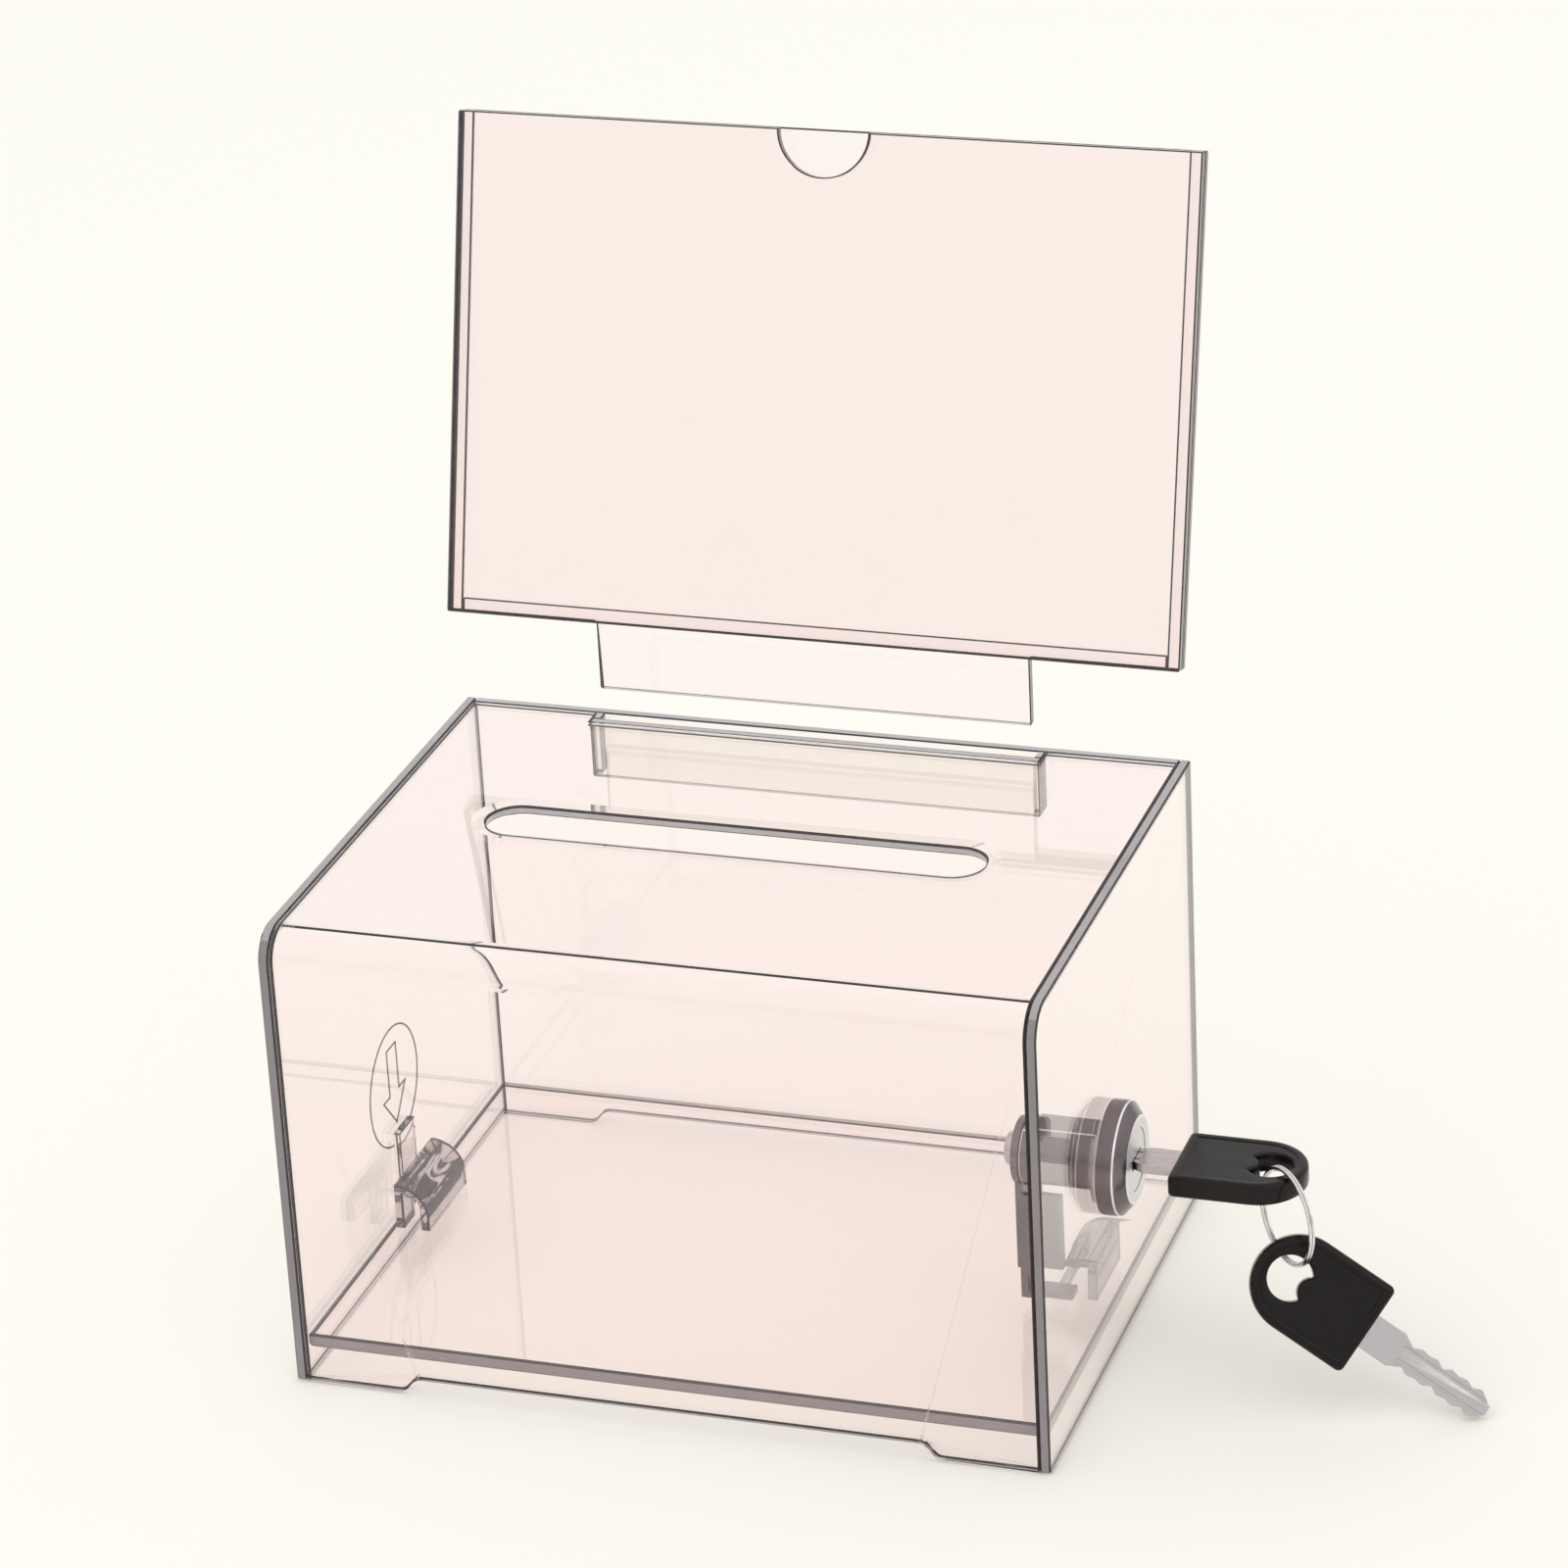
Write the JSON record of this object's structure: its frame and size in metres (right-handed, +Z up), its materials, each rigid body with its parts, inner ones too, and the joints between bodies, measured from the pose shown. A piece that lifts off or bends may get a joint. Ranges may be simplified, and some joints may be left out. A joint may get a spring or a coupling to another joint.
{
  "type": "donation box",
  "caption": "Clear acrylic countertop donation box with a coin slot, lift-out sign holder, hinged bottom hatch, side cam lock and keys on a ring.",
  "frame": {"origin": "on the surface the box stands on, under the middle of the box shell", "axes": "+X to the box's right side, where the lock is; +Y to the back, where the sign holder stands; +Z up"},
  "size_m": [0.236, 0.1412, 0.2237],
  "materials": {
    "clear_acrylic": "crystal clear polished acrylic sheet",
    "smoky_clear_catch": "clear moulded plastic, slightly smoky",
    "satin_zinc": "satin plated zinc casting",
    "plug_zinc": "satin plated zinc plug",
    "brass_wafers": "stamped brass",
    "plated_steel": "zinc plated stamped steel",
    "nickel_blade": "nickel plated brass key blank",
    "black_key_plastic": "glossy moulded black plastic",
    "ring_wire": "bright nickel plated wire"
  },
  "bodies": {
    "shell": {"front_top_panel": "clear_acrylic", "left_side_panel": "clear_acrylic", "right_side_panel": "clear_acrylic", "back_panel": "clear_acrylic", "sign_socket_plate": "clear_acrylic", "sign_socket_left_end": "clear_acrylic", "sign_socket_right_end": "clear_acrylic", "left_latch_tongue": "smoky_clear_catch", "lock_body": "satin_zinc", "lock_clip": "plated_steel"},
    "hatch": {"base_plate": "clear_acrylic", "left_catch_hood": "smoky_clear_catch", "right_catch_hood": "smoky_clear_catch"},
    "sign_holder": {"sign_back_plate": "clear_acrylic", "sign_front_plate": "clear_acrylic", "sign_left_spacer": "clear_acrylic", "sign_right_spacer": "clear_acrylic", "sign_bottom_spacer": "clear_acrylic"},
    "lock_cylinder": {"lock_plug": "plug_zinc", "lock_wafers": "brass_wafers", "lock_cam": "plated_steel", "cam_washer": "plated_steel", "cam_screw": "plated_steel"},
    "key": {"key_blade": "nickel_blade", "key_head": "black_key_plastic"},
    "key_ring": {"key_ring": "ring_wire"},
    "spare_key": {"spare_key_blade": "nickel_blade", "spare_key_head": "black_key_plastic"}
  },
  "joints": [
    {"name": "sign_lift", "type": "slide", "parent": "shell", "child": "sign_holder", "axis": [0, 0, 1], "range_m": [-0.0212, 0.03]},
    {"name": "hatch_swing", "type": "hinge", "parent": "shell", "child": "hatch", "pos_m": [-0.0765, 0, 0.007], "axis": [0, 1, 0], "range_deg": [0, 60]},
    {"name": "lock_turn", "type": "hinge", "parent": "shell", "child": "lock_cylinder", "pos_m": [0.079, -0.011, 0.045], "axis": [1, 0, 0], "range_deg": [-70, 20]},
    {"name": "key_pull", "type": "slide", "parent": "lock_cylinder", "child": "key", "axis": [1, 0, 0], "range_m": [0, 0.03]},
    {"name": "ring_swing", "type": "hinge", "parent": "key", "child": "key_ring", "pos_m": [0.11616, -0.01568, 0.0484], "axis": [0.682, -0.7314, 0], "range_deg": [-2, 20]},
    {"name": "spare_key_swing", "type": "hinge", "parent": "key_ring", "child": "spare_key", "pos_m": [0.11616, -0.01568, 0.0288], "axis": [0.682, -0.7314, 0], "range_deg": [-40, 20]}
  ]
}
